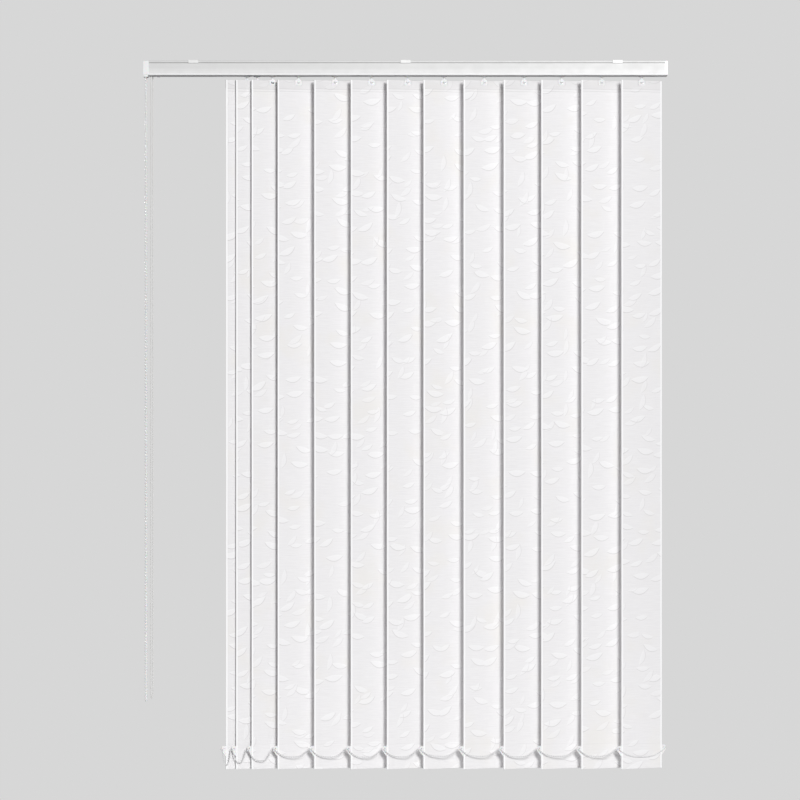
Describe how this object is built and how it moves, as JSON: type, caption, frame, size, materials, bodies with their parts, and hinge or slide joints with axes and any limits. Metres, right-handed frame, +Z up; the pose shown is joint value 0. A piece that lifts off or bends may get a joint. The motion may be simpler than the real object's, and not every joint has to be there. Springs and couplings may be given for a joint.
{
  "type": "vertical blind",
  "caption": "Vertical blind: fabric slats hung from trucks in a slim headrail, with a ball chain that tilts them, a cord that draws them and a bead chain along their feet.",
  "frame": {"origin": "on the ceiling plane that the brackets screw to, above the middle of the headrail", "axes": "+Z up, X along the headrail with the controls at -X and the stack at +X, -Y the room side"},
  "size_m": [1.046, 0.047, 1.4155],
  "materials": {
    "rail_paint": "white powder coat, satin",
    "bracket_steel": "white lacquered spring steel",
    "end_fitting_plastic": "white moulded plastic, light gloss",
    "rod_aluminium": "mill finish, fluted",
    "tilt_chain_plastic": "white plastic balls on a cord",
    "traverse_cord_braid": "white braided polyester",
    "truck_plastic": "white acetal, plain moulded",
    "slat_cloth": "off-white woven cloth with a tone-on-tone leaf pattern",
    "hook_plastic": "white moulded plastic",
    "bead_chain_plastic": "white plastic beads on a thread"
  },
  "bodies": {
    "headrail_body": {"headrail": "rail_paint", "top_brackets": "bracket_steel", "control_end_housing": "end_fitting_plastic", "return_end_cap": "end_fitting_plastic", "tilt_chain": "tilt_chain_plastic", "traverse_cord": "traverse_cord_braid", "truck_13": "truck_plastic"},
    "tilt_drive_body": {"tilt_drive": "rod_aluminium"},
    "truck_01_body": {"truck_01": "truck_plastic"},
    "truck_02_body": {"truck_02": "truck_plastic"},
    "truck_03_body": {"truck_03": "truck_plastic"},
    "truck_04_body": {"truck_04": "truck_plastic"},
    "truck_05_body": {"truck_05": "truck_plastic"},
    "truck_06_body": {"truck_06": "truck_plastic"},
    "truck_07_body": {"truck_07": "truck_plastic"},
    "truck_08_body": {"truck_08": "truck_plastic"},
    "truck_09_body": {"truck_09": "truck_plastic"},
    "truck_10_body": {"truck_10": "truck_plastic"},
    "truck_11_body": {"truck_11": "truck_plastic"},
    "truck_12_body": {"truck_12": "truck_plastic"},
    "slat_01_body": {"slat_01": "slat_cloth", "hook_and_weight_01": "hook_plastic"},
    "slat_02_body": {"slat_02": "slat_cloth", "hook_and_weight_02": "hook_plastic"},
    "slat_03_body": {"slat_03": "slat_cloth", "hook_and_weight_03": "hook_plastic"},
    "slat_04_body": {"slat_04": "slat_cloth", "hook_and_weight_04": "hook_plastic"},
    "slat_05_body": {"slat_05": "slat_cloth", "hook_and_weight_05": "hook_plastic"},
    "slat_06_body": {"slat_06": "slat_cloth", "hook_and_weight_06": "hook_plastic"},
    "slat_07_body": {"slat_07": "slat_cloth", "hook_and_weight_07": "hook_plastic"},
    "slat_08_body": {"slat_08": "slat_cloth", "hook_and_weight_08": "hook_plastic"},
    "slat_09_body": {"slat_09": "slat_cloth", "hook_and_weight_09": "hook_plastic"},
    "slat_10_body": {"slat_10": "slat_cloth", "hook_and_weight_10": "hook_plastic"},
    "slat_11_body": {"slat_11": "slat_cloth", "hook_and_weight_11": "hook_plastic"},
    "slat_12_body": {"slat_12": "slat_cloth", "hook_and_weight_12": "hook_plastic"},
    "slat_13_body": {"slat_13": "slat_cloth", "hook_and_weight_13": "hook_plastic", "chain_span_13": "bead_chain_plastic"},
    "ear_02_chain": {"chain_span_01": "bead_chain_plastic"},
    "ear_03_chain": {"chain_span_02": "bead_chain_plastic"},
    "ear_04_chain": {"chain_span_03": "bead_chain_plastic"},
    "ear_05_chain": {"chain_span_04": "bead_chain_plastic"},
    "ear_06_chain": {"chain_span_05": "bead_chain_plastic"},
    "ear_07_chain": {"chain_span_06": "bead_chain_plastic"},
    "ear_08_chain": {"chain_span_07": "bead_chain_plastic"},
    "ear_09_chain": {"chain_span_08": "bead_chain_plastic"},
    "ear_10_chain": {"chain_span_09": "bead_chain_plastic"},
    "ear_11_chain": {"chain_span_10": "bead_chain_plastic"},
    "ear_12_chain": {"chain_span_11": "bead_chain_plastic"},
    "ear_13_chain": {"chain_span_12": "bead_chain_plastic"},
    "ear_01_chain": {"chain_end_clip": "bead_chain_plastic"}
  },
  "joints": [
    {"name": "truck_12_travel", "type": "slide", "parent": "headrail_body", "child": "truck_12_body", "axis": [1, 0, 0], "range_m": [0, 0.064]},
    {"name": "truck_11_travel", "type": "slide", "parent": "truck_12_body", "child": "truck_11_body", "axis": [1, 0, 0], "range_m": [0, 0.064]},
    {"name": "truck_10_travel", "type": "slide", "parent": "truck_11_body", "child": "truck_10_body", "axis": [1, 0, 0], "range_m": [-0.005, 0.059]},
    {"name": "truck_09_travel", "type": "slide", "parent": "truck_10_body", "child": "truck_09_body", "axis": [1, 0, 0], "range_m": [0, 0.064]},
    {"name": "truck_08_travel", "type": "slide", "parent": "truck_09_body", "child": "truck_08_body", "axis": [1, 0, 0], "range_m": [0, 0.064]},
    {"name": "truck_07_travel", "type": "slide", "parent": "truck_08_body", "child": "truck_07_body", "axis": [1, 0, 0], "range_m": [-0.007, 0.057]},
    {"name": "truck_06_travel", "type": "slide", "parent": "truck_07_body", "child": "truck_06_body", "axis": [1, 0, 0], "range_m": [-0.008, 0.056]},
    {"name": "truck_05_travel", "type": "slide", "parent": "truck_06_body", "child": "truck_05_body", "axis": [1, 0, 0], "range_m": [-0.007, 0.057]},
    {"name": "truck_04_travel", "type": "slide", "parent": "truck_05_body", "child": "truck_04_body", "axis": [1, 0, 0], "range_m": [-0.007, 0.057]},
    {"name": "truck_03_travel", "type": "slide", "parent": "truck_04_body", "child": "truck_03_body", "axis": [1, 0, 0], "range_m": [-0.028, 0.036]},
    {"name": "truck_02_travel", "type": "slide", "parent": "truck_03_body", "child": "truck_02_body", "axis": [1, 0, 0], "range_m": [-0.049, 0.015]},
    {"name": "truck_01_travel", "type": "slide", "parent": "truck_02_body", "child": "truck_01_body", "axis": [1, 0, 0], "range_m": [-0.03, 0.004]},
    {"name": "slat_13_tilt", "type": "hinge", "parent": "headrail_body", "child": "slat_13_body", "pos_m": [0.472, 0, -0.0305], "axis": [0, 0, 1], "range_deg": [-11, 147]},
    {"name": "slat_12_tilt", "type": "hinge", "parent": "truck_12_body", "child": "slat_12_body", "pos_m": [0.392, 0, -0.0305], "axis": [0, 0, 1], "range_deg": [-11, 147]},
    {"name": "slat_11_tilt", "type": "hinge", "parent": "truck_11_body", "child": "slat_11_body", "pos_m": [0.312, 0, -0.0305], "axis": [0, 0, 1], "range_deg": [-11, 147]},
    {"name": "slat_10_tilt", "type": "hinge", "parent": "truck_10_body", "child": "slat_10_body", "pos_m": [0.237, 0, -0.0305], "axis": [0, 0, 1], "range_deg": [-11, 147]},
    {"name": "slat_09_tilt", "type": "hinge", "parent": "truck_09_body", "child": "slat_09_body", "pos_m": [0.157, 0, -0.0305], "axis": [0, 0, 1], "range_deg": [-11, 147]},
    {"name": "slat_08_tilt", "type": "hinge", "parent": "truck_08_body", "child": "slat_08_body", "pos_m": [0.077, 0, -0.0305], "axis": [0, 0, 1], "range_deg": [-11, 147]},
    {"name": "slat_07_tilt", "type": "hinge", "parent": "truck_07_body", "child": "slat_07_body", "pos_m": [0.004, 0, -0.0305], "axis": [0, 0, 1], "range_deg": [-11, 147]},
    {"name": "slat_06_tilt", "type": "hinge", "parent": "truck_06_body", "child": "slat_06_body", "pos_m": [-0.068, 0, -0.0305], "axis": [0, 0, 1], "range_deg": [-11, 147]},
    {"name": "slat_05_tilt", "type": "hinge", "parent": "truck_05_body", "child": "slat_05_body", "pos_m": [-0.141, 0, -0.0305], "axis": [0, 0, 1], "range_deg": [-11, 147]},
    {"name": "slat_04_tilt", "type": "hinge", "parent": "truck_04_body", "child": "slat_04_body", "pos_m": [-0.214, 0, -0.0305], "axis": [0, 0, 1], "range_deg": [-11, 147]},
    {"name": "slat_03_tilt", "type": "hinge", "parent": "truck_03_body", "child": "slat_03_body", "pos_m": [-0.266, 0, -0.0305], "axis": [0, 0, 1], "range_deg": [-11, 147]},
    {"name": "slat_02_tilt", "type": "hinge", "parent": "truck_02_body", "child": "slat_02_body", "pos_m": [-0.297, 0, -0.0305], "axis": [0, 0, 1], "range_deg": [-11, 147]},
    {"name": "slat_01_tilt", "type": "hinge", "parent": "truck_01_body", "child": "slat_01_body", "pos_m": [-0.317, 0, -0.0305], "axis": [0, 0, 1], "range_deg": [-11, 147]},
    {"name": "tilt_drive_turn", "type": "hinge", "parent": "headrail_body", "child": "tilt_drive_body", "pos_m": [0, -0.009, -0.018], "axis": [1, 0, 0], "range_deg": [-132, 1764]},
    {"name": "ear_13_swivel", "type": "hinge", "parent": "slat_13_body", "child": "ear_13_chain", "pos_m": [0.42205, -0.01917, -1.37385], "axis": [0, 0, 1], "range_deg": [-147, 11]},
    {"name": "ear_12_travel", "type": "slide", "parent": "ear_13_chain", "child": "ear_12_chain", "axis": [1, 0, 0], "range_m": [0, 0.064], "deforming": ["chain_span_12"]},
    {"name": "ear_11_travel", "type": "slide", "parent": "ear_12_chain", "child": "ear_11_chain", "axis": [1, 0, 0], "range_m": [0, 0.064], "deforming": ["chain_span_11"]},
    {"name": "ear_10_travel", "type": "slide", "parent": "ear_11_chain", "child": "ear_10_chain", "axis": [1, 0, 0], "range_m": [-0.005, 0.059], "deforming": ["chain_span_10"]},
    {"name": "ear_09_travel", "type": "slide", "parent": "ear_10_chain", "child": "ear_09_chain", "axis": [1, 0, 0], "range_m": [0, 0.064], "deforming": ["chain_span_09"]},
    {"name": "ear_08_travel", "type": "slide", "parent": "ear_09_chain", "child": "ear_08_chain", "axis": [1, 0, 0], "range_m": [0, 0.064], "deforming": ["chain_span_08"]},
    {"name": "ear_07_travel", "type": "slide", "parent": "ear_08_chain", "child": "ear_07_chain", "axis": [1, 0, 0], "range_m": [-0.007, 0.057], "deforming": ["chain_span_07"]},
    {"name": "ear_06_travel", "type": "slide", "parent": "ear_07_chain", "child": "ear_06_chain", "axis": [1, 0, 0], "range_m": [-0.008, 0.056], "deforming": ["chain_span_06"]},
    {"name": "ear_05_travel", "type": "slide", "parent": "ear_06_chain", "child": "ear_05_chain", "axis": [1, 0, 0], "range_m": [-0.007, 0.057], "deforming": ["chain_span_05"]},
    {"name": "ear_04_travel", "type": "slide", "parent": "ear_05_chain", "child": "ear_04_chain", "axis": [1, 0, 0], "range_m": [-0.007, 0.057], "deforming": ["chain_span_04"]},
    {"name": "ear_03_travel", "type": "slide", "parent": "ear_04_chain", "child": "ear_03_chain", "axis": [1, 0, 0], "range_m": [-0.028, 0.036], "deforming": ["chain_span_03"]},
    {"name": "ear_02_travel", "type": "slide", "parent": "ear_03_chain", "child": "ear_02_chain", "axis": [1, 0, 0], "range_m": [-0.049, 0.015], "deforming": ["chain_span_02"]},
    {"name": "ear_01_travel", "type": "slide", "parent": "ear_02_chain", "child": "ear_01_chain", "axis": [1, 0, 0], "range_m": [-0.03, 0.004], "deforming": ["chain_span_01"]}
  ],
  "couplings": [
    {"joint": "slat_12_tilt", "follows": "slat_13_tilt", "ratio": 1},
    {"joint": "slat_11_tilt", "follows": "slat_13_tilt", "ratio": 1},
    {"joint": "slat_10_tilt", "follows": "slat_13_tilt", "ratio": 1},
    {"joint": "slat_09_tilt", "follows": "slat_13_tilt", "ratio": 1},
    {"joint": "slat_08_tilt", "follows": "slat_13_tilt", "ratio": 1},
    {"joint": "slat_07_tilt", "follows": "slat_13_tilt", "ratio": 1},
    {"joint": "slat_06_tilt", "follows": "slat_13_tilt", "ratio": 1},
    {"joint": "slat_05_tilt", "follows": "slat_13_tilt", "ratio": 1},
    {"joint": "slat_04_tilt", "follows": "slat_13_tilt", "ratio": 1},
    {"joint": "slat_03_tilt", "follows": "slat_13_tilt", "ratio": 1},
    {"joint": "slat_02_tilt", "follows": "slat_13_tilt", "ratio": 1},
    {"joint": "slat_01_tilt", "follows": "slat_13_tilt", "ratio": 1},
    {"joint": "tilt_drive_turn", "follows": "slat_13_tilt", "ratio": 12},
    {"joint": "ear_13_swivel", "follows": "slat_13_tilt", "ratio": -1},
    {"joint": "ear_12_travel", "follows": "truck_12_travel", "ratio": 1},
    {"joint": "ear_11_travel", "follows": "truck_11_travel", "ratio": 1},
    {"joint": "ear_10_travel", "follows": "truck_10_travel", "ratio": 1},
    {"joint": "ear_09_travel", "follows": "truck_09_travel", "ratio": 1},
    {"joint": "ear_08_travel", "follows": "truck_08_travel", "ratio": 1},
    {"joint": "ear_07_travel", "follows": "truck_07_travel", "ratio": 1},
    {"joint": "ear_06_travel", "follows": "truck_06_travel", "ratio": 1},
    {"joint": "ear_05_travel", "follows": "truck_05_travel", "ratio": 1},
    {"joint": "ear_04_travel", "follows": "truck_04_travel", "ratio": 1},
    {"joint": "ear_03_travel", "follows": "truck_03_travel", "ratio": 1},
    {"joint": "ear_02_travel", "follows": "truck_02_travel", "ratio": 1},
    {"joint": "ear_01_travel", "follows": "truck_01_travel", "ratio": 1}
  ]
}
